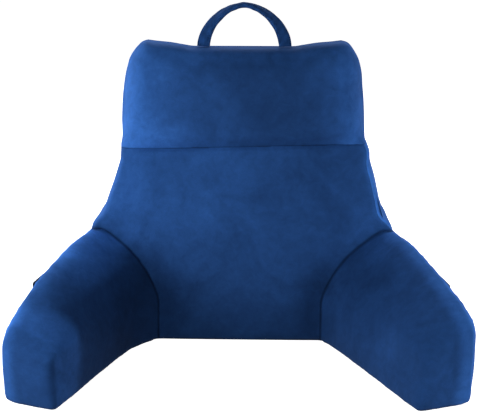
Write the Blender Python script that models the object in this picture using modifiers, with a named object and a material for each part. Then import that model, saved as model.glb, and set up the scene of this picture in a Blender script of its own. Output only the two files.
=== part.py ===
"""Reading pillow with arms: a filled back in two sections, two splayed arms, padded side
gussets, a carry handle and a patch pocket on the outside of each arm.

Metres, +Z up. The origin is on the floor, at the middle of the pillow's outline.
The sitter faces -Y, so the arms point to -Y, and +X is the viewer's right.
"""
import math
from collections import namedtuple
from functools import partial

import bmesh
import bpy
from mathutils import Vector

# ---------------------------------------------------------------- driving dimensions
FOOT_Y = 0.0578  # front of the back at the floor
LEAN = math.tan(math.radians(9.1))  # the front of the back leans away from the sitter
REAR_LEAN = math.tan(math.radians(1.5))
BASE_DEPTH = 0.180  # back, front to rear, at the floor

SEAM_HEIGHT = 0.3546  # the straight seam between the two sections of the back
SEAM_SLOPE = 0.026  # it rises towards +X, as sewn
HEAD_TOP = 0.527
HEAD_EAR = 0.007  # the head's top corners stand this much above its middle
HEAD_EAR_START = 0.100  # from the middle to where the top starts to rise
HEAD_EAR_END = 0.150
HEAD_SETBACK = 0.022  # the head is this much thinner than the back at its top

ARM_REACH = 0.308  # from the back to the inner corner of the arm's end
ARM_END_SKEW = 0.415  # the end's outer corner stands back: metres of Y for each metre of X
ARM_OUTER_SPLAY = 0.345  # metres of X for each metre forward
ARM_FLARE_REACH = 0.07  # the inner wall sweeps into the back over this length
ARM_TOP_CURVE = 1.5  # 2 would be an ellipse, 1 a straight slope

GUSSET_DEPTH = 0.013  # the side gusset with the padding that it bulges over
GUSSET_EDGE_DROP = 0.004  # it is this much thinner along its seams

BACK_CROWN = 0.009
HEAD_CROWN = 0.014
REAR_CROWN = 0.008
ARM_CROWN = 0.006

GAP = 0.0003  # between sewn pieces

HANDLE_RISE = 0.0775
HANDLE_HALF_SPAN = 0.0755
HANDLE_CENTRE_X = 0.003
HANDLE_WIDTH = 0.024
HANDLE_THICKNESS = 0.0085
HANDLE_TWIST = math.radians(85)  # the strap faces the sitter at its roots and up at its crest

POCKET_WIDTH = 0.150
POCKET_HEIGHT = 0.142
POCKET_BULGE = 0.019  # how far the mouth stands open
POCKET_CLOTH = 0.0022
POCKET_HEM = 0.0014  # the turned hem at the mouth adds this much
POCKET_CENTRE_Y = -0.027
POCKET_FOOT_Z = 0.022

# ---------------------------------------------------------------- sections
# The two arms are sewn a little unevenly. Inner wall run on in a straight line to the back,
# metres of X for each metre forward, how far the sweep into the back draws it inwards, and
# how much lower the nose is.
ArmSide = namedtuple("ArmSide", "sign inner_x inner_splay flare nose_drop")
LEFT = ArmSide(-1, 0.179, 0.352, 0.029, 0.024)
RIGHT = ArmSide(1, 0.150, 0.446, 0.006, 0.002)
NOSE_SHARE = 0.45  # of the arm's length, over which that drop fades out

Row = namedtuple("Row", "height half_width")
# The side of the pillow seen from the front, gussets included. It is straight up to
# ARM_PLATE_TOP, so the outside of the arm is flat.
ARM_PLATE_TOP = 0.205
BACK_ROWS = (
    Row(0.000, 0.2895),
    Row(ARM_PLATE_TOP, 0.2777),
    Row(0.225, 0.2650),
    Row(0.250, 0.2535),
    Row(0.280, 0.2427),
    Row(0.315, 0.2327),
    Row(SEAM_HEIGHT, 0.2250),
)
HEAD_ROWS = (
    Row(SEAM_HEIGHT, 0.2250),
    Row(0.376, 0.2222),
    Row(0.432, 0.2204),
    Row(0.473, 0.2170),
    Row(0.501, 0.2115),
    Row(HEAD_TOP, 0.2020),
)
# The arm from its nose to the back: share of its length, height where the inner wall
# starts to round over, height of the outer top edge.
ArmRow = namedtuple("ArmRow", "share wall crest")
ARM_ROWS = (
    ArmRow(0.00, 0.085, 0.128),
    ArmRow(0.08, 0.095, 0.148),
    ArmRow(0.20, 0.096, 0.162),
    ArmRow(0.40, 0.092, 0.177),
    ArmRow(0.70, 0.083, 0.192),
    ArmRow(0.85, 0.078, 0.197),
    ArmRow(0.94, 0.074, 0.199),
    ArmRow(1.00, 0.070, 0.200),
)


def mix(low, high, share):
    return low + (high - low) * share


def share_between(value, start, end):
    return min(1.0, max(0.0, (value - start) / (end - start)))


def read(rows, at):
    """The second and later columns of a table at a value of its first, straight between rows."""
    at = min(max(at, rows[0][0]), rows[-1][0])
    for low, high in zip(rows, rows[1:]):
        if at <= high[0]:
            share = (at - low[0]) / (high[0] - low[0])
            return [mix(a, b, share) for a, b in zip(low[1:], high[1:])]
    return list(rows[-1][1:])


def half_width(height):
    """Half the pillow's width at a height."""
    return read(BACK_ROWS if height <= SEAM_HEIGHT else HEAD_ROWS, height)[0]


def front_y(height):
    return FOOT_Y + LEAN * height


def rear_y(height):
    return FOOT_Y + BASE_DEPTH + REAR_LEAN * height


def seam_z(x):
    return SEAM_HEIGHT + SEAM_SLOPE * x


def side_x(y, height):
    """Outside of the gusset: the side of the back, then the splayed wall of the arm."""
    return half_width(height) + ARM_OUTER_SPLAY * max(0.0, front_y(height) - y)


def swell(share):
    """0 at the ends of a panel, 1 over its middle, with a rounded shoulder; share is -1 to 1."""
    return 1 - abs(share) ** 3


# ---------------------------------------------------------------- helpers
SHARP_EDGE = math.radians(50)
SEAM_EDGE = 0.004  # radius of the rounding along most seams
HEAD_EDGE = 0.014
PANEL_EDGE = 0.003
CLOTH_EDGE = 0.0006


def signed(shares):
    """Shares from 0 to 1, as -1 to 1, without the two ends."""
    return [2 * share - 1 for share in shares if 0 < share < 1]


def row_shares(rows, low, high):
    return [(row[0] - low) / (high - low) for row in rows]


def cut_cube(lateral, depth, height):
    """A cube from -1 to 1, cut across each axis at those stations."""
    bm = bmesh.new()
    bmesh.ops.create_cube(bm, size=2)
    for axis, cuts in enumerate((lateral, depth, height)):
        normal = Vector([float(i == axis) for i in range(3)])
        for cut in cuts:
            geometry = bm.verts[:] + bm.edges[:] + bm.faces[:]
            bmesh.ops.bisect_plane(bm, geom=geometry, plane_co=normal * cut, plane_no=normal)
    return bm


def shape(bm, point):
    """Moves each point of a mesh in unit coordinates to its place on the pillow."""
    for vertex in bm.verts:
        vertex.co = point(*(round(c, 6) for c in vertex.co))


def mirrored(bm, side):
    if side < 0:
        bmesh.ops.scale(bm, vec=(-1, 1, 1), verts=bm.verts)
        bmesh.ops.reverse_faces(bm, faces=bm.faces)
    return bm


def make_object(name, bm, material, soft_edge):
    """The edges that stick out are rounded over, up to the inner corner of an L."""
    bm.normal_update()
    softness = bm.edges.layers.float.new("bevel_weight_edge")
    sharp = [edge for edge in bm.edges if edge.calc_face_angle() > SHARP_EDGE]
    inner = {vertex for edge in sharp if not edge.is_convex for vertex in edge.verts}
    for edge in sharp:
        edge[softness] = not inner.intersection(edge.verts)
    mesh = bpy.data.meshes.new(name)
    bm.to_mesh(mesh)
    bm.free()
    mesh.shade_smooth()
    mesh.materials.append(material)
    obj = bpy.data.objects.new(name, mesh)
    pillow.objects.link(obj)
    rounding = obj.modifiers.new("soft edge", "BEVEL")
    rounding.width = soft_edge
    rounding.segments = 2
    rounding.limit_method = "WEIGHT"
    return obj


def cloth(name, colour, roughness):
    material = bpy.data.materials.new(name)
    material.use_nodes = True
    shader = material.node_tree.nodes["Principled BSDF"]
    shader.inputs["Base Color"].default_value = (*colour, 1)
    shader.inputs["Roughness"].default_value = roughness
    shader.inputs["Metallic"].default_value = 0
    return material


# ---------------------------------------------------------------- scene
for old in list(bpy.data.objects):
    bpy.data.objects.remove(old)
pillow = bpy.data.collections.new("reading pillow with arms")
cutters = bpy.data.collections.new("cutters")
cutters.hide_render = True
for collection in (pillow, cutters):
    bpy.context.scene.collection.children.link(collection)
velvet = cloth("blue velvet", (0.016, 0.055, 0.170), 0.85)
navy = cloth("navy knit", (0.006, 0.010, 0.024), 0.8)

# ---------------------------------------------------------------- back cushion
BETWEEN_ARMS = 0.525  # share of the back's half width that the arms leave free
BACK_WIDE = (-0.87, -0.7, -BETWEEN_ARMS, -0.4, -0.2, 0.0, 0.2, 0.4, BETWEEN_ARMS, 0.7, 0.87)
FULL_WIDTH_CROWN = 0.285  # from this height up, the crown spans the back's whole width
LOW_CUTS = (0.2, 0.4)  # shares of the back's height
DEEP = (-0.5, 0.0, 0.5)


def back_point(lateral, depth, height):
    z = mix(0, SEAM_HEIGHT, (height + 1) / 2)
    x = lateral * (half_width(z) - GUSSET_DEPTH - GAP)
    free = mix(BETWEEN_ARMS, 1, share_between(z, ARM_PLATE_TOP, FULL_WIDTH_CROWN))
    crown = BACK_CROWN * swell(min(1.0, abs(lateral) / free)) * swell(height)
    rear = rear_y(z) + REAR_CROWN * swell(lateral) * swell(height)
    y = mix(front_y(z) - crown, rear, (depth + 1) / 2)
    if height == 1:
        z = seam_z(x) - GAP / 2
    return Vector((x, y, z))


back_rows = signed([*LOW_CUTS, *row_shares(BACK_ROWS, 0, SEAM_HEIGHT)])
back_mesh = cut_cube(BACK_WIDE, DEEP, back_rows)
shape(back_mesh, back_point)
back_cushion = make_object("back_cushion", back_mesh, velvet, SEAM_EDGE)

# ---------------------------------------------------------------- head cushion
HEAD_WIDE = (-0.92, -0.7, -0.48, 0.0, 0.48, 0.7, 0.92)


def head_point(lateral, depth, height):
    share = (height + 1) / 2
    z = mix(SEAM_HEIGHT, HEAD_TOP, share)
    x = lateral * half_width(z)
    crown = swell(lateral) * swell(height)
    rear = rear_y(z) - HEAD_SETBACK * share + REAR_CROWN * crown
    y = mix(front_y(z) - HEAD_CROWN * crown, rear, (depth + 1) / 2)
    if height == -1:
        z = seam_z(x) + GAP / 2
    else:
        z += HEAD_EAR * share * share_between(abs(x), HEAD_EAR_START, HEAD_EAR_END)
    return Vector((x, y, z))


head_mesh = cut_cube(HEAD_WIDE, DEEP, signed(row_shares(HEAD_ROWS, SEAM_HEIGHT, HEAD_TOP)))
shape(head_mesh, head_point)
head_cushion = make_object("head_cushion", head_mesh, velvet, HEAD_EDGE)

# ---------------------------------------------------------------- arms
ARM_TURNS = 7  # facets round the arm's top
ARM_TALL = (-0.4, 0.4)
ARM_CORNER_X = RIGHT.inner_x + RIGHT.inner_splay * ARM_REACH


def arm_end_y(x):
    """The end of the arm in plan: it stands back towards its outer corner."""
    return FOOT_Y - ARM_REACH + ARM_END_SKEW * (x - ARM_CORNER_X)


def arm_section(turn):
    """Place across the arm and share of the rise, both 0 to 1, at a share of the turn from
    the inner wall to the outer edge."""
    power = 2 / ARM_TOP_CURVE
    angle = turn * math.pi / 2
    return 1 - math.cos(angle) ** power, math.sin(angle) ** power


def arm_heights(arm, along):
    """Height of the arm's inner wall and of its outer top edge."""
    wall, crest = read(ARM_ROWS, along)
    return wall, crest - arm.nose_drop * max(0.0, 1 - along / NOSE_SHARE)


def arm_inner_x(arm, y, z):
    forward = max(0.0, front_y(z) - y)
    flare = arm.flare * max(0.0, 1 - forward / ARM_FLARE_REACH) ** 2
    return arm.inner_x + arm.inner_splay * forward - flare


def arm_point(arm, lateral, depth, height):
    turn, along, up = (lateral + 1) / 2, (depth + 1) / 2, (height + 1) / 2
    across, rise = arm_section(turn)
    wall, crest = arm_heights(arm, along)
    z = up * mix(wall, crest, rise)
    rear = front_y(z) - GAP
    inner_bulge = ARM_CROWN * swell(depth) * swell(height) * (1 - across) ** 2
    x = arm.inner_x
    for _ in range(6):  # the arm's end slants, so its place depends on x
        y = mix(arm_end_y(x), rear, along)
        x = mix(arm_inner_x(arm, y, z) - inner_bulge, side_x(y, z) - GUSSET_DEPTH - GAP, across)
    if depth == -1:
        y -= ARM_CROWN * swell(lateral) * swell(height)
    return Vector((x, y, z))


arm_wide = signed([turn / ARM_TURNS for turn in range(1, ARM_TURNS)])
arm_long = signed([row.share for row in ARM_ROWS])


def make_arm(name, arm):
    bm = cut_cube(arm_wide, arm_long, ARM_TALL)
    shape(bm, partial(arm_point, arm))
    return make_object(name, mirrored(bm, arm.sign), velvet, SEAM_EDGE)


arm_left = make_arm("arm_cushion_left", LEFT)
arm_right = make_arm("arm_cushion_right", RIGHT)

# ---------------------------------------------------------------- side gussets
# The panel is a grid: columns from the arm's nose to the rear of the back, rows from the
# floor up. The arm's columns stop at its crest, which leaves the letter L.
ARM_COLUMNS = len(ARM_ROWS) - 1
BACK_COLUMNS = (0.15, 0.5, 0.85, 1.0)  # shares of the back's depth
ARM_LEVELS = (0.0, 0.12, 0.5, 0.88, 1.0)  # shares of the arm's height
BACK_LEVELS = [row.height for row in BACK_ROWS[1:]]


def gusset_point(arm, column, level, inside):
    top_level = len(ARM_LEVELS) - 1
    along = ARM_ROWS[min(column, ARM_COLUMNS)].share
    crest = arm_heights(arm, along)[1] if column < ARM_COLUMNS else ARM_PLATE_TOP
    z = crest * ARM_LEVELS[level] if level <= top_level else BACK_LEVELS[level - top_level]
    rear_share = 0 if column <= ARM_COLUMNS else BACK_COLUMNS[column - ARM_COLUMNS - 1]
    x = half_width(z)
    for _ in range(5):
        start = mix(arm_end_y(x), front_y(z), along)
        y = mix(start, rear_y(z), rear_share)
        x = side_x(y, z)
    last_column = ARM_COLUMNS + len(BACK_COLUMNS)
    last_level = top_level + len(BACK_LEVELS) - 1
    on_rim = (
        level in (0, last_level)
        or column in (0, last_column)
        or (column <= ARM_COLUMNS and level >= top_level)
    )
    if level == last_level:
        z = seam_z(arm.sign * x) - GAP / 2
    if inside:
        x -= GUSSET_DEPTH
    elif on_rim:
        x -= GUSSET_EDGE_DROP
    return Vector((x, y, z))


def make_gusset(name, arm):
    columns = ARM_COLUMNS + len(BACK_COLUMNS)
    levels = len(ARM_LEVELS) + len(BACK_LEVELS) - 2
    bm = bmesh.new()
    bmesh.ops.create_grid(bm, x_segments=columns, y_segments=levels, size=0.5)
    for vertex in bm.verts:
        place = ((vertex.co.x + 0.5) * columns, (vertex.co.y + 0.5) * levels)
        vertex.co = Vector((round(place[0]), round(place[1]), 0))
    above_arm = [
        face
        for face in bm.faces
        if face.calc_center_median().x < ARM_COLUMNS
        and face.calc_center_median().y > len(ARM_LEVELS) - 1
    ]
    bmesh.ops.delete(bm, geom=above_arm, context="FACES")
    made = bmesh.ops.extrude_face_region(bm, geom=bm.faces[:])
    for item in made["geom"]:
        if isinstance(item, bmesh.types.BMVert):
            item.co.z = 1
    for vertex in bm.verts:
        column, level = round(vertex.co.x), round(vertex.co.y)
        vertex.co = gusset_point(arm, column, level, vertex.co.z < 0.5)
    return make_object(name, mirrored(bm, arm.sign), velvet, PANEL_EDGE)


gusset_left = make_gusset("side_gusset_left", LEFT)
gusset_right = make_gusset("side_gusset_right", RIGHT)

# ---------------------------------------------------------------- side pockets
POCKET_ACROSS = 12
POCKET_UP = 7
POCKET_HEM_START = 0.9  # share of the pocket's height
POCKET_FULLNESS = 1.2  # how sharply it rises from its sewn sides; 1 is a parabola


def pocket_point(across, up, layer):
    """across runs -1 to 1 along the arm, up 0 to 1 from foot to mouth; layer 0 is next to
    the arm and 1 is outside."""
    y = POCKET_CENTRE_Y + across * POCKET_WIDTH / 2
    z = POCKET_FOOT_Z + up * POCKET_HEIGHT
    bulge = POCKET_BULGE * (1 - across**2) ** POCKET_FULLNESS * math.sin(up * math.pi / 2)
    cloth = POCKET_CLOTH + POCKET_HEM * (up > POCKET_HEM_START)
    return Vector((side_x(y, z) + 2 * GAP + bulge + layer * cloth, y, z))


def make_pocket(name, side):
    bm = bmesh.new()
    bmesh.ops.create_grid(bm, x_segments=POCKET_ACROSS, y_segments=POCKET_UP, size=1)
    made = bmesh.ops.extrude_face_region(bm, geom=bm.faces[:])
    for item in made["geom"]:
        if isinstance(item, bmesh.types.BMVert):
            item.co.z = 1
    for vertex in bm.verts:
        across, up, layer = vertex.co
        vertex.co = pocket_point(across, round((up + 1) / 2, 6), layer)
    return make_object(name, mirrored(bm, side), navy, CLOTH_EDGE)


pocket_left = make_pocket("side_pocket_left", -1)
pocket_right = make_pocket("side_pocket_right", 1)

# ---------------------------------------------------------------- carry handle
HANDLE_STEPS = 18
HANDLE_RISE_POWER = 1.6
HANDLE_SPAN_POWER = 1.7
HANDLE_TWIST_POWER = 1.8
HANDLE_STAND = 0.003  # each root stands straight up out of the seam for this far
STRAP_CORNER = 0.0015

strap_curve = bpy.data.curves.new("strap section", "CURVE")
strap_curve.dimensions = "2D"
outline = strap_curve.splines.new("POLY")
half, thin = HANDLE_WIDTH / 2, HANDLE_THICKNESS / 2  # half the strap's two sizes
section = (
    (half - STRAP_CORNER, -thin),
    (-half + STRAP_CORNER, -thin),
    (-half, -thin + STRAP_CORNER),
    (-half, thin - STRAP_CORNER),
    (-half + STRAP_CORNER, thin),
    (half - STRAP_CORNER, thin),
    (half, thin - STRAP_CORNER),
    (half, -thin + STRAP_CORNER),
)
outline.points.add(len(section) - 1)
for point, (across, through) in zip(outline.points, section):
    point.co = (across, through, 0, 1)
outline.use_cyclic_u = True
strap_section = bpy.data.objects.new("strap section", strap_curve)
strap_section.display_type = "WIRE"
cutters.objects.link(strap_section)

path_curve = bpy.data.curves.new("carry handle", "CURVE")
path_curve.dimensions = "3D"
path_curve.twist_mode = "MINIMUM"
path_curve.bevel_mode = "OBJECT"
path_curve.bevel_object = strap_section
path_curve.use_fill_caps = True
handle_y = mix(front_y(HEAD_TOP), rear_y(HEAD_TOP) - HEAD_SETBACK, 0.5)
handle_z = HEAD_TOP + GAP
stitched = [(-HANDLE_HALF_SPAN, 0, HANDLE_TWIST)]
for step in range(HANDLE_STEPS + 1):
    angle = math.pi * step / HANDLE_STEPS
    spread = abs(math.cos(angle)) ** (2 / HANDLE_SPAN_POWER)
    rise = math.sin(angle) ** (2 / HANDLE_RISE_POWER)
    x = math.copysign(spread, -math.cos(angle)) * HANDLE_HALF_SPAN
    twist = HANDLE_TWIST * (1 - rise) ** HANDLE_TWIST_POWER
    height = mix(HANDLE_STAND, HANDLE_RISE, rise)
    stitched.append((x, height, twist))
stitched.append((HANDLE_HALF_SPAN, 0, HANDLE_TWIST))
path = path_curve.splines.new("POLY")
path.points.add(len(stitched) - 1)
for point, (x, height, twist) in zip(path.points, stitched):
    point.co = (HANDLE_CENTRE_X + x, handle_y, handle_z + height, 1)
    point.tilt = math.pi / 2 - twist
handle = bpy.data.objects.new("carry_handle", path_curve)
handle.data.materials.append(velvet)
pillow.objects.link(handle)
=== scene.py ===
import math

import bmesh
import bpy
import numpy as np
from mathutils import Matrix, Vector


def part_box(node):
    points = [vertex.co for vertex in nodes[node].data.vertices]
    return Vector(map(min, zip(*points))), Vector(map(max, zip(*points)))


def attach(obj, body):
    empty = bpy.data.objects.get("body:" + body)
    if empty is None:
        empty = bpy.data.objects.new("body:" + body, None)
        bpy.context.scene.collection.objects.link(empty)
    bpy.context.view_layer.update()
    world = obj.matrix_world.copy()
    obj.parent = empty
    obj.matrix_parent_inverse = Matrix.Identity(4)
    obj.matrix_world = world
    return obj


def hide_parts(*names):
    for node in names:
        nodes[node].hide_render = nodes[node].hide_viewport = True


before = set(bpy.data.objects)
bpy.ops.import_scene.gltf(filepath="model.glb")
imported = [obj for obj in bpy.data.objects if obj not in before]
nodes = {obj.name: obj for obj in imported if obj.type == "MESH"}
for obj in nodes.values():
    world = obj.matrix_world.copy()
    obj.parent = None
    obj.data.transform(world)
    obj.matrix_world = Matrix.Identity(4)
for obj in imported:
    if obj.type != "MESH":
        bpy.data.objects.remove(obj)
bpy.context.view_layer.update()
scene = bpy.context.scene

# ---------------------------------------------------------------- the stuffed shape
# One sewn velvet cover is packed hard with crushed foam. Its skin runs on over the back, the
# head, both arms and the two side panels, the seams hold it down, and the cloth between them
# swells. The panels of the cover are cut from it in the sections that follow.
STUFFED = (
    "back_cushion",
    "head_cushion",
    "arm_cushion_left",
    "arm_cushion_right",
    "side_gusset_left",
    "side_gusset_right",
)
SKIN_SQUARE = 0.006  # the size of the little squares of the skin
FOOT_Y = 0.0578  # front of the back at the floor
LEAN = 0.16018  # how far it leans back for each metre up
SEAM_HEIGHT = 0.3546  # the head seam, in the middle
SEAM_SLOPE = 0.026
# Half the pillow's width, at heights from the floor up.
SIDE_HEIGHTS = (0, 0.205, 0.225, 0.250, 0.280, 0.315, 0.3546, 0.376, 0.432, 0.473, 0.501, 0.527)
SIDE_WIDTHS = (
    0.2895, 0.2777, 0.2650, 0.2535, 0.2427, 0.2327, 0.2250, 0.2222, 0.2204, 0.2170, 0.2115, 0.2020,
)
ARM_SPLAY = 0.345  # how far the arms spread for each metre forward
ARM_INNER = (0.150, 0.144)  # left and right, where the arm's inner wall meets the back
ARM_OUTER = 0.2647
ARM_WALL = 0.070  # the inner wall rounds over from here up
ARM_CREST = 0.200
ARCH_POWER = 1.5
ARM_SEAM_REACHES = 0.02  # the arm seam keeps this near to the front of the back
PANEL_EDGE = (0.003, 0.0080)  # left and right, how far the side panel comes round to the front
PANEL_EDGE_RISES = (0.01, 0.06)  # heights between which the right edge widens


def ease(value, start, end):
    share = np.clip((value - start) / (end - start), 0, 1)
    return share * share * (3 - 2 * share)


def front_of_back(z):
    return FOOT_Y + LEAN * z


def above_head_seam(points):
    return points[:, 2] - SEAM_HEIGHT - SEAM_SLOPE * points[:, 0]


def outside_side_seam(points):
    x, y, z = points.T
    side = np.interp(z, SIDE_HEIGHTS, SIDE_WIDTHS)
    side = side + ARM_SPLAY * np.maximum(0, front_of_back(z) - y)
    left, right = PANEL_EDGE
    return np.abs(x) - side + left + np.where(x < 0, 0, (right - left) * ease(z, *PANEL_EDGE_RISES))


def outside_arm_seam(points):
    """Below 0 on the arms, which meet the front of the back in one quarter of an arch."""
    x, y, z = points.T
    inner = np.where(x < 0, *ARM_INNER)
    across = (np.abs(x) - inner) / (ARM_OUTER - inner)
    up = np.maximum(0, z - ARM_WALL) / (ARM_CREST - ARM_WALL)
    arch = np.sign(1 - across) * np.abs(1 - across) ** ARCH_POWER + up**ARCH_POWER
    arch = np.sign(arch) * np.abs(arch) ** (1 / ARCH_POWER) - 1
    arch = np.where(across > 1, up - 1, arch) * (ARM_OUTER - ARM_INNER[0])
    forward = front_of_back(z) - y
    arch = arch - 2 * np.maximum(0, forward - ARM_SEAM_REACHES)
    return np.maximum(arch, -forward - ARM_SEAM_REACHES)


def points_of(mesh):
    flat = np.empty(len(mesh.vertices) * 3, np.float32)
    mesh.vertices.foreach_get("co", flat)
    return flat.reshape(-1, 3).astype(float)


def move_points(mesh, points):
    mesh.vertices.foreach_set("co", np.asarray(points, np.float32).ravel())
    mesh.update()


def apply_modifiers(piece):
    graph = bpy.context.evaluated_depsgraph_get()
    mesh = bpy.data.meshes.new_from_object(piece.evaluated_get(graph))
    piece.modifiers.clear()
    old, piece.data = piece.data, mesh
    bpy.data.meshes.remove(old)


def new_piece(name, shell):
    mesh = bpy.data.meshes.new(name)
    shell.to_mesh(mesh)
    shell.free()
    piece = bpy.data.objects.new(name, mesh)
    scene.collection.objects.link(piece)
    return piece


SMOOTH_ROUNDS = 30
SMOOTH_PULLS = (0.5, -0.52)  # each round smooths, then grows back what that takes away


def relaxed(mesh, points, rounds):
    """Takes out bumps narrower than about 30 mm, and keeps the size of the rest."""
    ends = np.empty(len(mesh.edges) * 2, np.int64)
    mesh.edges.foreach_get("vertices", ends)
    one, other = ends.reshape(-1, 2).T
    neighbours = np.bincount(ends, minlength=len(points))
    for _ in range(rounds):
        for pull in SMOOTH_PULLS:
            mean = [
                (np.bincount(one, of[other], len(of)) + np.bincount(other, of[one], len(of)))
                / neighbours
                for of in points.T
            ]
            points = points + pull * (np.stack(mean, axis=1) - points)
    return points


joined = bmesh.new()
for name in STUFFED:
    joined.from_mesh(nodes[name].data)
bmesh.ops.remove_doubles(joined, verts=joined.verts, dist=1e-5)
cover = new_piece("cover", joined)
skin = cover.modifiers.new("skin", "REMESH")
skin.mode = "VOXEL"
skin.voxel_size = SKIN_SQUARE
apply_modifiers(cover)

SEAMS = ("head seam", "side seam", "arm seam")
raw = points_of(cover.data)
sides = [above_head_seam(raw), outside_side_seam(raw), outside_arm_seam(raw)]
seam_sides = dict(zip(SEAMS, relaxed(cover.data, np.stack(sides, axis=1), SMOOTH_ROUNDS).T))
FAR = 1.0


def seam_gaps(head, side, arm):
    """How far each point is from each seam, where that seam is sewn."""
    return (
        np.abs(head),
        np.where(head > 0, FAR, np.abs(side)),
        np.where(np.maximum(head, side) > 0, FAR, np.abs(arm)),
    )


smooth = relaxed(cover.data, raw, SMOOTH_ROUNDS)
move_points(cover.data, smooth)

SWELL_CLOTH = {
    "quality": 4,
    "mass": 0.3,
    "tension_stiffness": 15,
    "compression_stiffness": 15,
    "shear_stiffness": 5,
    "bending_stiffness": 1.5,
    "vertex_group_mass": "held",
    "use_pressure": True,
    "uniform_pressure_force": 4.0,
}
SWELL_MOST = 0.007
SWELL_STEPS = 20
SWELL_ROUNDS = 20
HELD_BY_SEAM = (0.003, 0.007)  # distances over which a seam lets go of the cloth
HELD_BY_FLOOR = (0.003, 0.012)
ARM_SEAM_HOLD = 0.03  # the arms swell least this near to their seam
ARM_SEAM_STILLS = 0.8  # the share of the swelling that it takes away there
to_seams = seam_gaps(*seam_sides.values())
near_seam = 1 - ease(np.minimum.reduce(to_seams), *HELD_BY_SEAM)
near_floor = 1 - ease(raw[:, 2], *HELD_BY_FLOOR)
held = cover.vertex_groups.new(name="held")
for index, weight in enumerate(np.maximum(near_seam, near_floor).tolist()):
    if weight > 0.01:
        held.add([index], weight, "REPLACE")
cloth = cover.modifiers.new("velvet", "CLOTH")
for setting, value in SWELL_CLOTH.items():
    setattr(cloth.settings, setting, value)
cloth.settings.effector_weights.gravity = 0
cloth.collision_settings.use_collision = False
cloth.point_cache.frame_end = SWELL_STEPS
for step in range(1, SWELL_STEPS + 1):
    scene.frame_set(step)
apply_modifiers(cover)
scene.frame_set(1)
cover.vertex_groups.clear()
move = points_of(cover.data) - smooth
length = np.maximum(np.linalg.norm(move, axis=1, keepdims=True), 1e-9)
move *= SWELL_MOST * np.tanh(length / SWELL_MOST) / length
by_arm_seam = np.exp(-((to_seams[2] / ARM_SEAM_HOLD) ** 2))
move *= 1 - ARM_SEAM_STILLS * by_arm_seam[:, None]
move_points(cover.data, smooth + relaxed(cover.data, move, SWELL_ROUNDS))

for seam, side in seam_sides.items():
    layer = cover.data.attributes.new(seam, "FLOAT", "POINT")
    layer.data.foreach_set("value", side.astype(np.float32))
finer = cover.modifiers.new("finer", "SUBSURF")
finer.levels = finer.render_levels = 1
apply_modifiers(cover)


def bump_at(value, middle, spread):
    return np.exp(-(((value - middle) / spread) ** 2))


def rounded(x, z, radius):
    """How far the side edge of the front falls back, as a rounding of that radius does."""
    from_side = np.interp(z, SIDE_HEIGHTS, SIDE_WIDTHS) - np.abs(x)
    return radius * (1 - np.sqrt(1 - np.clip(1 - from_side / radius, 0, 0.97) ** 2))


# Pushes on the sides of the back and the head, in metres outwards on the left and on the right.
# Each has a shape over the height, which is a bump with a middle and a spread or an ease with a
# start and an end, and eases in between two distances from the middle of the pillow.
SIDE_PUSHES = (
    # left, right, shape, its two heights, from, to
    (-0.0025, 0.0025, bump_at, 0.330, 0.050, 0.14, 0.20),
    (0, 0.0030, bump_at, 0.355, 0.020, 0.18, 0.22),
    (0.0030, 0, bump_at, 0.352, 0.008, 0.19, 0.22),
    (0, 0.0035, ease, 0.450, 0.490, 0.10, 0.20),
    (0.0018, 0.0018, ease, 0.350, 0.380, 0.12, 0.21),
    (-0.0070, -0.0050, ease, 0.495, 0.530, 0.14, 0.20),
    (0.0045, 0.0045, bump_at, 0.345, 0.018, 0.17, 0.22),
    (0, 0.0040, bump_at, 0.290, 0.040, 0.14, 0.20),
)
# Pushes on the arms and the crooks behind them, in metres outwards.
ARM_PUSH = {
    "left side": 0.0010,
    "left nose low down": 0.0020,
    "left nose foot": 0.0020,
    "right side": 0.0025,
    "right outer side": 0.0070,
    "inside of the nose": -0.006,
    "halfway up inside the nose": -0.034,
    "foot of the seam": 0.003,
    "crook": 0.001,
    "above the crook": -0.004,
}
# The rounding of the side edges of the front: its radius, and the share of it that is taken.
LEFT_HEAD_EDGE, LEFT_BACK_EDGE, RIGHT_HEAD_EDGE = (0.060, 0.75), (0.075, 0.35), (0.042, 0.75)
BACK_THICKNESS = 0.13  # the rounding fades out over this
LEFT_NOSE_AHEAD, LEFT_NOSE_OUTER_AHEAD = 0.006, 0.007
FOOT_AHEAD = 0.0065
HEAD_UP = 0.0070
CROOK_UP = 0.009


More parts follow.
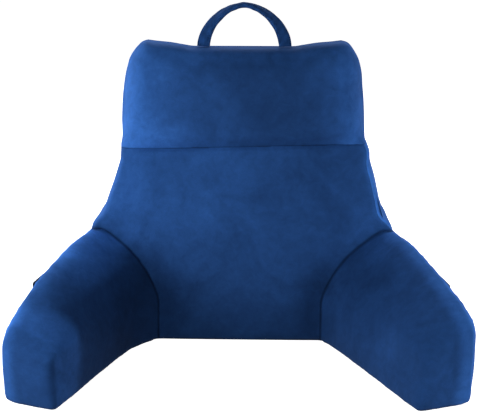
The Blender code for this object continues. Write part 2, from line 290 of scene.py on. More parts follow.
def filled_out(points):
    """The places where the foam pushes the cover out: the head's top corners, the ends of
    its seam, the outer sides and the noses of the arms, and the crooks behind them."""
    x, y, z = points.T
    wide = np.abs(x)
    left, right = x < 0, x >= 0
    forward = front_of_back(z) - y
    outer = ease(wide, 0.17, 0.34)
    arm = ease(forward, -0.03, 0.06) * (1 - ease(z, 0.20, 0.25))
    nose = ease(forward, 0.10, 0.29)
    nose_inside = nose**3 * (1 - outer)
    low = 1 - ease(z, 0.09, 0.17)
    at_floor = 1 - ease(z, 0, 0.08)
    seam_foot = bump_at(wide, 0.155, 0.04) * (1 - ease(forward, 0, 0.09)) * (1 - ease(z, 0.10, 0.19))
    crook = bump_at(wide, 0.278, 0.045) * bump_at(z, 0.19, 0.03) * ease(forward, -0.12, 0)
    above_crook = bump_at(z, 0.228, 0.018) * ease(wide, 0.20, 0.24) * ease(forward, -0.15, 0)
    out = (
        left * outer * arm
        * (ARM_PUSH["left side"] + ARM_PUSH["left nose low down"] * low * nose)
        + left * ARM_PUSH["left nose foot"] * nose * outer * bump_at(z, 0.06, 0.04)
        + right * arm * (1 - 0.3 * at_floor)
        * (ARM_PUSH["right side"] + ARM_PUSH["right outer side"] * outer)
        + ARM_PUSH["inside of the nose"] * nose_inside * arm
        + ARM_PUSH["halfway up inside the nose"] * nose_inside * bump_at(z, 0.125, 0.045)
        + ARM_PUSH["foot of the seam"] * seam_foot
        + ARM_PUSH["crook"] * crook
        + ARM_PUSH["above the crook"] * above_crook
    )
    for on_left, on_right, shape, low_z, high_z, near, far in SIDE_PUSHES:
        out += np.where(left, on_left, on_right) * shape(z, low_z, high_z) * ease(wide, near, far)

    on_head = ease(z, 0.352, 0.380)
    left_head, left_back, right_head = (
        share * rounded(x, z, radius)
        for radius, share in (LEFT_HEAD_EDGE, LEFT_BACK_EDGE, RIGHT_HEAD_EDGE)
    )
    shoulder = np.where(
        left, on_head * left_head + (1 - on_head) * left_back, on_head * right_head
    )
    front = ease(z, 0.20, 0.27) * (1 - np.clip(-forward / BACK_THICKNESS, 0, 1))
    foot = (1 - ease(z, 0, 0.06)) * ease(forward, -0.05, -0.01) * (1 - ease(forward, 0, 0.10))
    ahead = (
        left * nose * (LEFT_NOSE_AHEAD + LEFT_NOSE_OUTER_AHEAD * outer)
        - front * shoulder
        + FOOT_AHEAD * foot
    )
    up = HEAD_UP * ease(z, 0.43, 0.52) + CROOK_UP * crook
    return np.stack([x + np.sign(x) * out, y - ahead, np.maximum(z, 0) + up], axis=1)


# A last smoothing, which the distances from the seams go through with the points.
SETTLE_ROUNDS = 16
finer_sides = np.empty((len(SEAMS), len(cover.data.vertices)), np.float32)
for row, seam in zip(finer_sides, SEAMS):
    cover.data.attributes[seam].data.foreach_get("value", row)
settled = np.hstack([filled_out(points_of(cover.data)), finer_sides.T])
settled = relaxed(cover.data, settled, SETTLE_ROUNDS)
move_points(cover.data, settled[:, :3])
for row, seam in zip(settled[:, 3:].T, SEAMS):
    cover.data.attributes[seam].data.foreach_set("value", row.astype(np.float32))

SNAP = 0.0003  # points this near to a seam count as on it


def cut_along(shell, seam):
    """Cuts the skin where it crosses a seam: each point's distance from the seam stands in
    for its x while a plane cuts it."""
    side = shell.verts.layers.float[seam]
    true_x = shell.verts.layers.float.new("true x")
    for vertex in shell.verts:
        vertex[true_x] = vertex.co.x
        vertex.co.x = vertex[side] if abs(vertex[side]) > SNAP else 0
    everything = shell.verts[:] + shell.edges[:] + shell.faces[:]
    bmesh.ops.bisect_plane(
        shell, geom=everything, plane_co=(0, 0, 0), plane_no=(1, 0, 0), dist=1e-6
    )
    for vertex in shell.verts:
        vertex.co.x, vertex[side] = vertex[true_x], vertex.co.x
    shell.verts.layers.float.remove(true_x)


def split_off(shell, seam, outside):
    """Takes the faces on one side of a seam out of the skin, as a skin of their own."""
    panel = shell.copy()
    for part, keep in ((shell, not outside), (panel, outside)):
        side = part.verts.layers.float[seam]
        gone = [
            face
            for face in part.faces
            if (sum(vertex[side] for vertex in face.verts) > 0) != keep
        ]
        bmesh.ops.delete(part, geom=gone, context="FACES")
    return panel


skin = bmesh.new()
skin.from_mesh(cover.data)
bpy.data.objects.remove(cover)
for seam in SEAMS:
    cut_along(skin, seam)

SEAM_REACH = 0.0038
SEAM_DEPTHS = (0.0035, 0.0015, 0.0024)  # in the order of the seams
# Where a seam draws in less, by which share: towards the ends of the head seam and of the arm
# seam, by distance from the middle, and up the side seam, by height.
HEAD_SEAM_ENDS, HEAD_SEAM_EASES = (0.18, 0.215), 0.85
SIDE_SEAM_RISES, SIDE_SEAM_EASES = (0.17, 0.20), 0.70
ARM_SEAM_ENDS, ARM_SEAM_EASES = (0.225, 0.255), 0.80
ARM_SEAM_RISES = (0, 0.11)  # at the floor it doesn't draw in at all


def tuck_in(shell):
    """Draws the skin in along its seams."""
    shell.normal_update()
    layers = [shell.verts.layers.float[seam] for seam in SEAMS]
    for vertex in shell.verts:
        head, side, arm = (vertex[layer] for layer in layers)
        gaps = (
            abs(head),
            abs(side) if head <= SNAP else FAR,
            abs(arm) if max(head, side) <= SNAP else FAR,
        )
        pull = [
            depth * math.exp(-((gap / SEAM_REACH) ** 2)) for gap, depth in zip(gaps, SEAM_DEPTHS)
        ]
        wide, high = abs(vertex.co.x), vertex.co.z
        pull[0] *= 1 - HEAD_SEAM_EASES * ease(wide, *HEAD_SEAM_ENDS)
        pull[1] *= 1 - SIDE_SEAM_EASES * ease(high, *SIDE_SEAM_RISES)
        pull[2] *= ease(high, *ARM_SEAM_RISES) * (1 - ARM_SEAM_EASES * ease(wide, *ARM_SEAM_ENDS))
        vertex.co -= float(max(pull)) * vertex.normal


tuck_in(skin)
head_skin = split_off(skin, "head seam", True)
panel_skin = split_off(skin, "side seam", True)
arm_skin = split_off(skin, "arm seam", False)
back_skin = skin

# ---------------------------------------------------------------- back panel
# The lower section of the back, which the sitter's spine rests on: one velvet panel that is
# sewn to the head above, to an arm at each side, and to the side panels.
TURNED_IN = 0.006


def closed(shell):
    """The cut edge turns in behind the panel, and the foam fills it from side to side."""
    shell.normal_update()
    edges = [edge for edge in shell.edges if edge.is_boundary]
    outward = {tuple(vertex.co): vertex.normal.copy() for edge in edges for vertex in edge.verts}
    made = bmesh.ops.extrude_edge_only(shell, edges=edges)["geom"]
    rim = [item for item in made if isinstance(item, bmesh.types.BMVert)]
    for vertex in rim:
        vertex.co -= TURNED_IN * outward[tuple(vertex.co)]
    edges = [edge for edge in shell.edges if edge.is_boundary]
    filled = bmesh.ops.holes_fill(shell, edges=edges, sides=0)["faces"]
    bmesh.ops.triangulate(shell, faces=filled)
    return shell


VELVET_BLUE = (0.0175, 0.069, 0.235, 1)
VELVET_SHADE = (0.0110, 0.0435, 0.150, 1)
VELVET_SHEEN = (0.16, 0.38, 1.0, 1)
CRUSHED_SHARE, GRAIN_SHARE = 0.30, 0.22
CREASE_WIDTH, PAINTED_CREASE_SHADE = 0.0032, 0.45  # painted shade: a sewn crease is painted darker, down to that share of the velvet


def velvet_material():
    """Short pile, brushed two ways in soft patches, with a fine grain and a slight sheen. Its colour
    is multiplied by the painted light and shade that the mesh carries over each panel, and is
    painted darker along sewn creases as painted shade."""
    material = bpy.data.materials.new("blue velvet")
    material.use_nodes = True
    tree = material.node_tree
    shader = tree.nodes["Principled BSDF"]
    shader.inputs["Roughness"].default_value = 0.85
    shader.inputs["Specular IOR Level"].default_value = 0.03
    shader.inputs["Sheen Weight"].default_value = 0.12
    shader.inputs["Sheen Roughness"].default_value = 0.35
    shader.inputs["Sheen Tint"].default_value = VELVET_SHEEN
    place = tree.nodes.new("ShaderNodeTexCoord")

    def noise(scale, detail, roughness, distortion=0.0):
        texture = tree.nodes.new("ShaderNodeTexNoise")
        texture.inputs["Scale"].default_value = scale
        texture.inputs["Detail"].default_value = detail
        texture.inputs["Roughness"].default_value = roughness
        texture.inputs["Distortion"].default_value = distortion
        tree.links.new(place.outputs["Object"], texture.inputs["Vector"])
        return texture.outputs["Fac"]

    def mixed(blend, factor, first, second):
        mix = tree.nodes.new("ShaderNodeMix")
        mix.data_type = "RGBA"
        mix.blend_type = blend
        mix.inputs["Factor"].default_value = factor
        tree.links.new(first, mix.inputs["A"])
        tree.links.new(second, mix.inputs["B"])
        return mix.outputs["Result"]

    brushed = noise(scale=9, detail=4, roughness=0.6, distortion=0.8)
    crushed = noise(scale=70, detail=4, roughness=0.65, distortion=0.5)
    grain = noise(scale=900, detail=3, roughness=0.7)

    ramp = tree.nodes.new("ShaderNodeValToRGB")
    ramp.color_ramp.elements[0].position = 0.30
    ramp.color_ramp.elements[0].color = VELVET_SHADE
    ramp.color_ramp.elements[1].position = 0.70
    ramp.color_ramp.elements[1].color = VELVET_BLUE
    tree.links.new(brushed, ramp.inputs["Fac"])
    mottled = mixed("OVERLAY", CRUSHED_SHARE, ramp.outputs["Color"], crushed)
    speckled = mixed("OVERLAY", GRAIN_SHARE, mottled, grain)

    def carried(name, output):
        found = tree.nodes.new("ShaderNodeAttribute")
        found.attribute_name = name
        return found.outputs[output]

    # Painted light and shade: the colour is multiplied by the lightness that the mesh carries.
    with_painted_light = mixed("MULTIPLY", 1.0, speckled, carried("painted_light", "Color"))
    # Painted shade along the sewn creases, fading out over CREASE_WIDTH.
    fade = tree.nodes.new("ShaderNodeMapRange")
    fade.interpolation_type = "SMOOTHSTEP"
    fade.inputs["From Min"].default_value = 0
    fade.inputs["From Max"].default_value = CREASE_WIDTH
    fade.inputs["To Min"].default_value = PAINTED_CREASE_SHADE
    fade.inputs["To Max"].default_value = 1
    tree.links.new(carried("to crease", "Fac"), fade.inputs["Value"])
    with_painted_crease_shade = mixed("MULTIPLY", 1.0, with_painted_light, fade.outputs["Result"])
    tree.links.new(with_painted_crease_shade, shader.inputs["Base Color"])

    pile = tree.nodes.new("ShaderNodeBump")
    pile.inputs["Strength"].default_value = 0.25
    pile.inputs["Distance"].default_value = 0.0006
    tree.links.new(grain, pile.inputs["Height"])
    marks = tree.nodes.new("ShaderNodeBump")
    marks.inputs["Strength"].default_value = 0.30
    marks.inputs["Distance"].default_value = 0.003
    tree.links.new(crushed, marks.inputs["Height"])
    tree.links.new(pile.outputs["Normal"], marks.inputs["Normal"])
    tree.links.new(marks.outputs["Normal"], shader.inputs["Normal"])
    return material


velvet = velvet_material()

PAINTED_FLOOR_SHADOW, PAINTED_FLOOR_SHADOW_HEIGHT = 0.6, 0.007  # painted shadow: the foot of each panel is painted darker near the floor
PAINTED_TURNOVER_HIGHLIGHT = 0.45  # painted highlight: how much lighter the cloth is painted where it turns over to a side panel
TURNOVER_MIDDLE, TURNOVER_SPREAD = 0.001, 0.0055
HEAD_CREASE_FAINTER = 0.0012  # the head seam's crease counts as this much further off, so its painted shade is fainter


def paint_light_and_shade(piece, light_and_shade_at):
    """Stores the painted light and shade at each point, with a painted highlight where the cloth
    turns over to a side panel and a painted shadow at the foot, and how far the point is from a sewn
    crease."""
    mesh = piece.data
    normals = np.empty(len(mesh.vertices) * 3, np.float32)
    mesh.vertices.foreach_get("normal", normals)
    points = points_of(mesh)
    off_floor = ease(points[:, 2], 0, PAINTED_FLOOR_SHADOW_HEIGHT)
    light = light_and_shade_at(*points.T, normals.reshape(-1, 3))
    # Painted shadow at the foot, where the pillow meets the floor.
    light = light * (PAINTED_FLOOR_SHADOW + (1 - PAINTED_FLOOR_SHADOW) * off_floor)
    crease = np.full(len(points), FAR)
    if "side seam" in mesh.attributes:
        sides = np.empty((len(SEAMS), len(points)), np.float32)
        for row, seam in zip(sides, SEAMS):
            mesh.attributes[seam].data.foreach_get("value", row)
        head, side, arm = seam_gaps(*sides)
        # Painted highlight along the edge that turns over to the side panel.
        light = light * (1 + PAINTED_TURNOVER_HIGHLIGHT * bump_at(side, TURNOVER_MIDDLE, TURNOVER_SPREAD))
        crease = np.minimum(head + HEAD_CREASE_FAINTER, arm)
    colours = np.stack([light, light, light, np.ones_like(light)], axis=1)
    layer = mesh.attributes.new("painted_light", "FLOAT_COLOR", "POINT")
    layer.data.foreach_set("color", colours.astype(np.float32).ravel())
    layer = mesh.attributes.new("to crease", "FLOAT", "POINT")
    layer.data.foreach_set("value", crease.astype(np.float32))


def dress(piece, material, slot, *stood_for):
    for polygon in piece.data.polygons:
        polygon.use_smooth = True
    piece.data.materials.clear()
    piece.data.materials.append(material)
    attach(piece, "root")
    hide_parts(*stood_for)


# Painted light and shade on the back panel: lightness factors across it and by height.
BACK_PAINT_X = (-0.24, -0.19, -0.15, -0.11, -0.05, 0.00, 0.05, 0.10, 0.15, 0.20, 0.24)
BACK_PAINTED_LIGHT = (1.45, 1.62, 1.60, 1.38, 1.33, 1.30, 1.12, 1.06, 1.06, 1.14, 1.20)
BACK_PAINTED_LIGHT_LOW = 1.02  # painted light between the arms
BACK_PAINTED_SHADE_Z = (0, 0.02, 0.06, 0.09, 0.13, 0.17)
BACK_PAINTED_SHADE = (0.66, 0.72, 0.79, 0.87, 0.97, 1.0)
BACK_PAINTED_SHADE_BY_ARM = 0.20


def back_painted_light_and_shade(x, y, z, normals):
    """Painted light and shade: lighter to the left, where the left lamp falls, and darker low down
    and between the arms, where shade falls.
    """
    high = ease(z, 0.14, 0.26)
    across = BACK_PAINTED_LIGHT_LOW + high * (np.interp(x, BACK_PAINT_X, BACK_PAINTED_LIGHT) - BACK_PAINTED_LIGHT_LOW)
    by_arm = BACK_PAINTED_SHADE_BY_ARM * (1 - ease(z, 0.10, 0.16)) * ease(np.abs(x), 0.08, 0.16)
    return across * (np.interp(z, BACK_PAINTED_SHADE_Z, BACK_PAINTED_SHADE) - by_arm)


back = new_piece("back_cover", closed(back_skin))
paint_light_and_shade(back, back_painted_light_and_shade)
dress(back, velvet, "velvet_cover", "back_cushion")

# ---------------------------------------------------------------- head panel
# The upper section, a plain velvet case whose top corners stand up a little where the foam
# is pushed into them.
# Painted light on the head panel: lightness factors across it.
HEAD_PAINT_X = (-0.22, -0.18, -0.15, -0.12, -0.09, -0.05, 0.00, 0.05, 0.10, 0.14, 0.17, 0.20)
HEAD_PAINTED_LIGHT = (2.40, 2.10, 1.80, 1.45, 1.20, 1.00, 0.87, 0.76, 0.78, 1.00, 1.35, 2.20)
HEAD_TOP_PAINTED_LIGHT = 0.28
HEAD_LOW_PAINTED_LIGHT, HEAD_LOW_FALL = 0.22, 1.2  # painted light just above the seam, less for each metre to the right


def head_painted_light(x, y, z, normals):
    """Painted light: lighter towards the sides, where the lamps light the rounded edges, along the
    top and just above the seam.
    """
    on_top = ease(normals[:, 2], 0.45, 0.75) * (1 - ease(np.abs(x), 0.09, 0.16))
    top = 1 + HEAD_TOP_PAINTED_LIGHT * on_top
    low = 1 - ease(z, 0.36, 0.43)
    low = 1 + (HEAD_LOW_PAINTED_LIGHT - HEAD_LOW_FALL * np.maximum(x, 0)) * low
    return top * np.interp(x, HEAD_PAINT_X, HEAD_PAINTED_LIGHT) * low


head = new_piece("head_cover", closed(head_skin))
paint_light_and_shade(head, head_painted_light)
dress(head, velvet, "velvet_cover", "head_cushion")


# ---------------------------------------------------------------- arms
# Each arm is a velvet sleeve over a foam bolster, sewn to the back along an arch, with a
# flat panel closing its end.
def half_of(shell, sign):
    half = shell.copy()
    gone = [face for face in half.faces if face.calc_center_median().x * sign < 0]
    bmesh.ops.delete(half, geom=gone, context="FACES")
    return half


# Painted light and shade over the left arm, across it from the inner wall to the outer edge.
LEFT_ARM_ACROSS = (0.150, 0.175, 0.200, 0.230, 0.257, 0.280)
LEFT_ARM_PAINTED_LIGHT_BEHIND = (0.40, 0.34, 0.62, 2.20, 3.60, 3.80)
LEFT_ARM_PAINTED_LIGHT_IN_FRONT = (0.60, 0.60, 0.71, 1.17, 1.50, 2.40)
RIGHT_ARM_PAINTED_LIGHT = 1.15
RIGHT_WALL_PAINTED_SHADE, RIGHT_WALL_AHEAD = 0.42, 0.32  # painted shade on the inner wall, and less of it ahead
# painted light on the right arm's outer side, less of it ahead
RIGHT_OUTSIDE_PAINTED_LIGHT, RIGHT_OUTSIDE_AHEAD = 0.25, 0.35
PAINTED_RIM_LIGHT = 0.9  # painted highlight along the outer edge
# painted light on the end panels, less low down, and more where the left end turns away from the
# front
LEFT_END_PAINTED_LIGHT, LEFT_END_LOW, LEFT_END_TURN = 1.05, 0.22, 0.55
RIGHT_END_PAINTED_LIGHT, RIGHT_END_LOW, RIGHT_END_OUTSIDE, RIGHT_END_FOOT = 0.88, 0.08, 0.05, 0.40


def arm_painted_light_and_shade(x, y, z, normals):
    """Painted shade on the inner walls, darker towards the back, and painted light on the outer
    sides, along the outer edge and on the panel at the end of each arm."""
    forward = front_of_back(z) - y
    across = np.abs(x) - ARM_SPLAY * forward
    outside = ease(across, 0.18, 0.235)
    rim = 1 + PAINTED_RIM_LIGHT * ease(across, 0.243, 0.268)
    in_front = ease(forward, 0.08, 0.24)
    left = np.interp(across, LEFT_ARM_ACROSS, LEFT_ARM_PAINTED_LIGHT_BEHIND) * (1 - in_front)
    left = left + np.interp(across, LEFT_ARM_ACROSS, LEFT_ARM_PAINTED_LIGHT_IN_FRONT) * in_front
    ahead = ease(forward, 0.02, 0.26)
    wall = 1 - ease(across, 0.20, 0.25)
    right = RIGHT_ARM_PAINTED_LIGHT - wall * (RIGHT_WALL_PAINTED_SHADE - RIGHT_WALL_AHEAD * ahead)
    right = right + (RIGHT_OUTSIDE_PAINTED_LIGHT - RIGHT_OUTSIDE_AHEAD * ahead) * outside

    faces_front = ease(-normals[:, 1], 0.45, 0.68)
    past_wall = ease(across, 0.150, 0.164) * ease(forward, 0.235, 0.27)
    end = np.maximum(faces_front * ease(forward, 0.20, 0.25), past_wall)
    end *= 1 - ease(z, 0.135, 0.175)
    low = 1 - ease(z, 0.02, 0.12)
    turn = 1 + LEFT_END_TURN - LEFT_END_TURN * faces_front
    left_end = (LEFT_END_PAINTED_LIGHT - LEFT_END_LOW * low) * turn
    right_end = RIGHT_END_PAINTED_LIGHT + RIGHT_END_LOW * low
    right_end = right_end + outside * (RIGHT_END_OUTSIDE + RIGHT_END_FOOT * low)
    at_end = np.where(x < 0, left_end, right_end)
    return np.where(x < 0, left, right * rim) * (1 - end) + at_end * end * rim


for side, sign in (("left", -1), ("right", 1)):
    arm = new_piece("arm_cover_" + side, closed(half_of(arm_skin, sign)))
    paint_light_and_shade(arm, arm_painted_light_and_shade)
    dress(arm, velvet, "velvet_cover", "arm_cushion_" + side)

# ---------------------------------------------------------------- side panels
# A long velvet panel closes each side, from the rear of the back round to the nose of the
# arm. It is sewn to the front and to the rear with a seam that stands a little proud.
PANEL_PADDING = 0.003
# Painted highlight: the side panels are painted lighter than the velvet, the right one most.
LEFT_PANEL_PAINTED_LIGHT, RIGHT_PANEL_PAINTED_LIGHT = 1.8, 2.3
for side, sign in (("left", -1), ("right", 1)):
    panel = new_piece("side_panel_" + side, half_of(panel_skin, sign))
    padding = panel.modifiers.new("padding", "SOLIDIFY")
    padding.thickness = PANEL_PADDING
    padding.offset = -1
    apply_modifiers(panel)
    paint_light_and_shade(panel, lambda x, y, z, normals: np.where(x < 0, LEFT_PANEL_PAINTED_LIGHT, RIGHT_PANEL_PAINTED_LIGHT))
    dress(panel, velvet, "velvet_cover", "side_gusset_" + side)


# ---------------------------------------------------------------- side pockets
# A patch of matt navy knit on the outside of each arm, sewn down along its two sides and its
# foot. Its mouth is a turned hem with two rows of stitching, and stands a little open.
POCKET_WIDTH = 0.150
POCKET_HEIGHT = 0.142
POCKET_MIDDLE_Y = -0.027
POCKET_FOOT_Z = 0.022
POCKET_BULGE, POCKET_BULGE_SHAPE = 0.0085, 1.2
POCKET_GATHER, POCKET_GATHERS = 0.0006, 41  # small folds under the mouth
POCKET_CLOTH = 0.0018
POCKET_EDGE = 0.04  # share of the pocket over which its cloth thins to half at the edge
POCKET_HEM = 0.0012
HEM_START, HEM_FADE = 0.90, (0.012, 0.006)  # shares of the pocket's height
POCKET_OFF_ARM = 0.0012
POCKET_ACROSS, POCKET_UP = 60, 56
KNIT_COLUMNS, KNIT_ROWS = 75, 95  # loops across and up the patch
STITCH_ROWS = (0.915, 0.955)
STITCH_WIDTH = 0.006
STITCHES = 50
STITCH_GAP = -0.45  # the lower the wave may go, the longer the stitches
NAVY_SHADE = (0.0022, 0.0040, 0.0120, 1)
NAVY_YARN = (0.0085, 0.0150, 0.0400, 1)
NAVY_THREAD = (0.020, 0.034, 0.085, 1)


def pocket_places(flat, sign):
    """Points of a flat patch, across -1 to 1 and up 0 to 1 with layer 0 or 1, on the arm."""
    across, up, layer = flat.T
    y = POCKET_MIDDLE_Y + across * POCKET_WIDTH / 2
    z = POCKET_FOOT_Z + up * POCKET_HEIGHT
    off_sides = np.clip(1 - across**2, 0, 1)
    bulge = off_sides**POCKET_BULGE_SHAPE * np.sin(up * math.pi / 2)
    gather = POCKET_GATHER * np.sin(across * POCKET_GATHERS) * ease(up, 0.3, 1.0) * off_sides
    hem = POCKET_HEM * ease(up, HEM_START - HEM_FADE[0], HEM_START + HEM_FADE[1])
    rim = ease(1 - np.abs(across), 0, POCKET_EDGE) * ease(up, 0, POCKET_EDGE)
    cloth = POCKET_CLOTH * (0.5 + 0.5 * rim) + hem
    side = np.interp(z, SIDE_HEIGHTS, SIDE_WIDTHS) + ARM_SPLAY * (front_of_back(z) - y)
    out = side + POCKET_OFF_ARM + POCKET_BULGE * bulge + gather + layer * cloth
    return filled_out(np.stack([sign * out, y, z], axis=1))


def knit_material():
    """Columns of small loops, with two rows of paler stitching along the hem."""
    material = bpy.data.materials.new("navy knit")
    material.use_nodes = True
    tree = material.node_tree
    shader = tree.nodes["Principled BSDF"]
    shader.inputs["Roughness"].default_value = 0.85
    shader.inputs["Specular IOR Level"].default_value = 0.15
    shader.inputs["Sheen Weight"].default_value = 0.10
    shader.inputs["Sheen Roughness"].default_value = 0.5
    patch_uv = tree.nodes.new("ShaderNodeUVMap")
    patch_uv.uv_map = "patch"
    parts = tree.nodes.new("ShaderNodeSeparateXYZ")
    tree.links.new(patch_uv.outputs["UV"], parts.inputs["Vector"])

    def worked(operation, first, second=0.0, third=0.0):
        node = tree.nodes.new("ShaderNodeMath")
        node.operation = operation
        for socket, value in zip(node.inputs, (first, second, third)):
            if isinstance(value, (int, float)):
                socket.default_value = value
            else:
                tree.links.new(value, socket)
        return node.outputs[0]

    def wave(value, turns):
        return worked("SINE", worked("MULTIPLY", value, turns * 2 * math.pi))

    across, up = parts.outputs["X"], parts.outputs["Y"]
    slant = worked("ABSOLUTE", wave(across, KNIT_COLUMNS / 2))
    rows = wave(worked("MULTIPLY_ADD", slant, 0.5 / KNIT_ROWS, up), KNIT_ROWS)
    loops = worked("MULTIPLY_ADD", rows, 0.5, worked("MULTIPLY", slant, 0.5))
    fuzz = tree.nodes.new("ShaderNodeTexNoise")
    fuzz.inputs["Scale"].default_value = 600
    fuzz.inputs["Detail"].default_value = 3
    fuzz_place = tree.nodes.new("ShaderNodeTexCoord")
    tree.links.new(fuzz_place.outputs["Object"], fuzz.inputs["Vector"])
    height = worked("MULTIPLY_ADD", fuzz.outputs["Fac"], 0.4, loops)

    yarn = tree.nodes.new("ShaderNodeValToRGB")
    yarn.color_ramp.elements[0].color = NAVY_SHADE
    yarn.color_ramp.elements[1].color = NAVY_YARN
    tree.links.new(height, yarn.inputs["Fac"])

    def near_row(middle):
        return worked("COMPARE", up, middle, STITCH_WIDTH / 2)

    sewn = worked("ADD", near_row(STITCH_ROWS[0]), near_row(STITCH_ROWS[1]))
    dashes = worked("GREATER_THAN", wave(across, STITCHES), STITCH_GAP)
    thread = tree.nodes.new("ShaderNodeMix")
    thread.data_type = "RGBA"
    tree.links.new(worked("MULTIPLY", sewn, dashes), thread.inputs["Factor"])
    tree.links.new(yarn.outputs["Color"], thread.inputs["A"])
    thread.inputs["B"].default_value = NAVY_THREAD
    tree.links.new(thread.outputs["Result"], shader.inputs["Base Color"])
    relief = tree.nodes.new("ShaderNodeBump")
    relief.inputs["Strength"].default_value = 0.5
    relief.inputs["Distance"].default_value = 0.0006
    tree.links.new(height, relief.inputs["Height"])
    tree.links.new(relief.outputs["Normal"], shader.inputs["Normal"])
    return material


knit = knit_material()
for side, sign in (("left", -1), ("right", 1)):
    patch = bmesh.new()
    bmesh.ops.create_grid(patch, x_segments=POCKET_ACROSS, y_segments=POCKET_UP, size=1)
    raised = bmesh.ops.extrude_face_region(patch, geom=patch.faces[:])["geom"]
    for item in raised:
        if isinstance(item, bmesh.types.BMVert):
            item.co.z = 1
    flat = np.array([vertex.co for vertex in patch.verts])
    flat[:, 1] = (flat[:, 1] + 1) / 2
    patch_uv = patch.loops.layers.uv.new("patch")
    for face in patch.faces:
        for loop in face.loops:
            loop[patch_uv].uv = ((loop.vert.co.x + 1) / 2, (loop.vert.co.y + 1) / 2)
    for vertex, place in zip(patch.verts, pocket_places(flat, sign)):
        vertex.co = place
    if sign < 0:
        bmesh.ops.reverse_faces(patch, faces=patch.faces)
    pocket = new_piece("pocket_" + side, patch)
    dress(pocket, knit, "pocket_cloth", "side_pocket_" + side)

# ---------------------------------------------------------------- carry handle
# A strap of the same velvet, folded in three and top-stitched, with both ends sewn into the
# top of the head. It faces the sitter at its roots and turns on edge over the hand.
HANDLE_RISE = 0.0775
HANDLE_HALF_SPAN = 0.0755
HANDLE_MIDDLE_X = 0.003
HANDLE_FOOT_Z = 0.5273
HANDLE_SHOULDER = 1.85  # 2 bends it as an ellipse, and less makes it more pointed
STRAP_WIDTH = 0.024
STRAP_THICKNESS = 0.0095
STRAP_TWIST = math.radians(82)
STRAP_STEPS, STRAP_ROUND = 120, 48
ROOT_ANGLE = 0.012 * math.pi  # the roots end this far short of the half turn
# Over the strap's width: the square corners of its edges, and the grooves between its folds.
EDGE_SQUARE, FACE_SQUARE = 0.45, 0.75
GROOVES, GROOVE_WIDTH, GROOVE_DEPTH = (-0.72, -0.2, 0.34, 0.76), 0.07, 0.22
handle_low, handle_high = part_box("carry_handle")
HANDLE_Y = (handle_low[1] + handle_high[1]) / 2


def strap_middle(angle):
    """The middle of the strap at an angle from 0, the left root, to pi."""
    spread = abs(math.cos(angle)) * (math.cos(angle) ** 2 + 0.02) ** 0.0714
    rise = math.sin(angle) ** (2 / HANDLE_SHOULDER)
    x = HANDLE_MIDDLE_X + math.copysign(spread, -math.cos(angle)) * HANDLE_HALF_SPAN
    return Vector((x, HANDLE_Y, HANDLE_FOOT_Z + rise * HANDLE_RISE)), rise


def strap_place(along, turn):
    """along and turn are shares of the strap's length and of the way round it."""
    angle = ROOT_ANGLE + (math.pi - 2 * ROOT_ANGLE) * along
    middle, rise = strap_middle(angle)
    ahead = (strap_middle(angle + 0.01)[0] - strap_middle(angle - 0.01)[0]).normalized()
    sideways = Vector((0, 1, 0))
    outward = sideways.cross(ahead) * -1
    twist = STRAP_TWIST * (1 - rise) ** 0.85
    wide = sideways * math.cos(twist) + outward * math.sin(twist)
    thick = wide.cross(ahead)
    a = 2 * math.pi * turn
    across = math.copysign(abs(math.cos(a)) ** EDGE_SQUARE, math.cos(a))
    through = math.copysign(abs(math.sin(a)) ** FACE_SQUARE, math.sin(a))
    grooves = sum(math.exp(-(((across - at) / GROOVE_WIDTH) ** 2)) for at in GROOVES)
    lumps = 0.06 * math.sin(along * 37 + 3 * across) + 0.05 * math.sin(along * 61 - 5 * across)
    depth = 1 - GROOVE_DEPTH * grooves + lumps
    return (
        middle
        + wide * (across * STRAP_WIDTH / 2 * (1 + 0.02 * math.sin(along * 29)))
        + thick * (through * STRAP_THICKNESS / 2 * depth)
    )


strap = bmesh.new()
bmesh.ops.create_grid(strap, x_segments=STRAP_STEPS, y_segments=STRAP_ROUND, size=0.5)
for vertex in strap.verts:
    vertex.co = strap_place(vertex.co.x + 0.5, vertex.co.y + 0.5)
bmesh.ops.remove_doubles(strap, verts=strap.verts, dist=1e-6)
bmesh.ops.holes_fill(strap, edges=[edge for edge in strap.edges if edge.is_boundary], sides=0)
bmesh.ops.recalc_face_normals(strap, faces=strap.faces)
STRAP_PAINTED_SHADE = 0.80


def strap_painted_shade(x, y, z, normals):
    """Painted shade: the strap is painted darker, and lighter and darker in slanting bands, broad
    ones and fine ones, for the shade in its creases.
    """
    broad = 0.16 * np.sin(260 * x + 150 * z) * np.sin(90 * z - 70 * x + 1)
    fine = 0.10 * np.sin(420 * x - 300 * z)
    return STRAP_PAINTED_SHADE + broad + fine


handle = new_piece("handle", strap)
paint_light_and_shade(handle, strap_painted_shade)
dress(handle, velvet, "velvet_cover", "carry_handle")

# ---------------------------------------------------------------- the studio
# White paper that glows of itself, so that no shadow falls on it, in a white room. Six soft
# lamps stand round the pillow. The camera is a long lens above the pillow's height, a little
# to the right of the middle, tilted down at it.
CAMERA_AZIMUTH = math.radians(1.6)
CAMERA_DISTANCE = 1.944
CAMERA_HEIGHT = 0.80
CAMERA_PITCH = math.radians(15.2)
CAMERA_LENS, CAMERA_SENSOR = 86.6, 36
CAMERA_SHIFT = -0.002
camera_data = bpy.data.cameras.new("camera")
camera_data.lens = CAMERA_LENS
camera_data.sensor_width = CAMERA_SENSOR
camera_data.shift_x = CAMERA_SHIFT
camera = bpy.data.objects.new("camera", camera_data)
camera.location = (
    CAMERA_DISTANCE * math.sin(CAMERA_AZIMUTH),
    -CAMERA_DISTANCE * math.cos(CAMERA_AZIMUTH),
    CAMERA_HEIGHT,
)
camera.rotation_euler = (math.pi / 2 - CAMERA_PITCH, 0, CAMERA_AZIMUTH)
scene.collection.objects.link(camera)
scene.camera = camera
scene.view_settings.view_transform = "Standard"

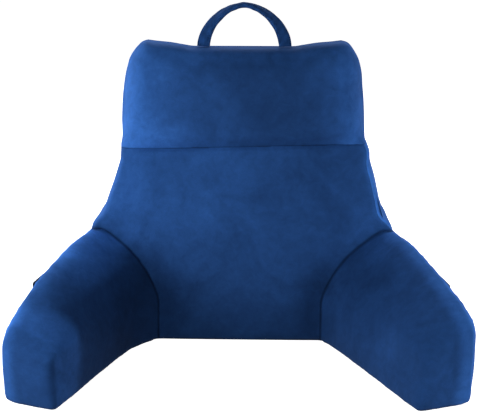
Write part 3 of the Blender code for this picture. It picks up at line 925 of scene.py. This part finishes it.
PAPER_HALF_SIDE, PAPER_Z = 12, -0.0005
PAPER_WHITE, PAPER_GLOW = (0.9, 0.9, 0.9, 1), (1, 1, 1, 1)
floor_sheet = bmesh.new()
bmesh.ops.create_grid(floor_sheet, x_segments=1, y_segments=1, size=PAPER_HALF_SIDE)
bmesh.ops.translate(floor_sheet, verts=floor_sheet.verts, vec=(0, 0, PAPER_Z))
floor = new_piece("floor", floor_sheet)
floor.visible_diffuse = False
paper = bpy.data.materials.new("white paper")
paper.use_nodes = True
paper_shader = paper.node_tree.nodes["Principled BSDF"]
paper_shader.inputs["Base Color"].default_value = PAPER_WHITE
paper_shader.inputs["Roughness"].default_value = 0.9
paper_shader.inputs["Emission Color"].default_value = PAPER_GLOW
paper_shader.inputs["Emission Strength"].default_value = 1.0
floor.data.materials.append(paper)

AMBIENT = 0.06  # the room lights the pillow by this, and looks white to the camera
room = bpy.data.worlds.new("white room")
room.use_nodes = True
room_nodes, room_links = room.node_tree.nodes, room.node_tree.links
seen = room_nodes.new("ShaderNodeLightPath")
strength = room_nodes.new("ShaderNodeMapRange")
strength.inputs["To Min"].default_value = AMBIENT
strength.inputs["To Max"].default_value = 1.0
room_links.new(seen.outputs["Is Camera Ray"], strength.inputs["Value"])
room_nodes["Background"].inputs["Color"].default_value = (1, 1, 1, 1)
room_links.new(strength.outputs["Result"], room_nodes["Background"].inputs["Strength"])
scene.world = room

LAMPS_AIM = Vector((0, 0, 0.25))
LAMPS = (
    # name, place, width and height, watts
    ("left lamp", (-1.15, -0.9, 0.45), (0.5, 0.5), 14.4),
    ("right lamp", (1.15, -0.9, 0.45), (0.5, 0.5), 6.6),
    ("front lamp", (0, -2.8, 0.3), (1.6, 0.6), 13),
    ("rear lamp", (0, 2.2, 1.8), (2.0, 1.4), 35),
    ("rear left lamp", (-2.2, 1.5, 1.2), (1.4, 1.4), 50),
    ("rear right lamp", (2.2, 1.5, 1.2), (1.4, 1.4), 33),
)
for name, place, size, watts in LAMPS:
    light = bpy.data.lights.new(name, "AREA")
    light.shape = "RECTANGLE"
    light.size, light.size_y = size
    light.energy = watts
    lamp = bpy.data.objects.new(name, light)
    lamp.location = place
    lamp.rotation_euler = (LAMPS_AIM - Vector(place)).to_track_quat("-Z", "Y").to_euler()
    lamp.visible_camera = False
    scene.collection.objects.link(lamp)
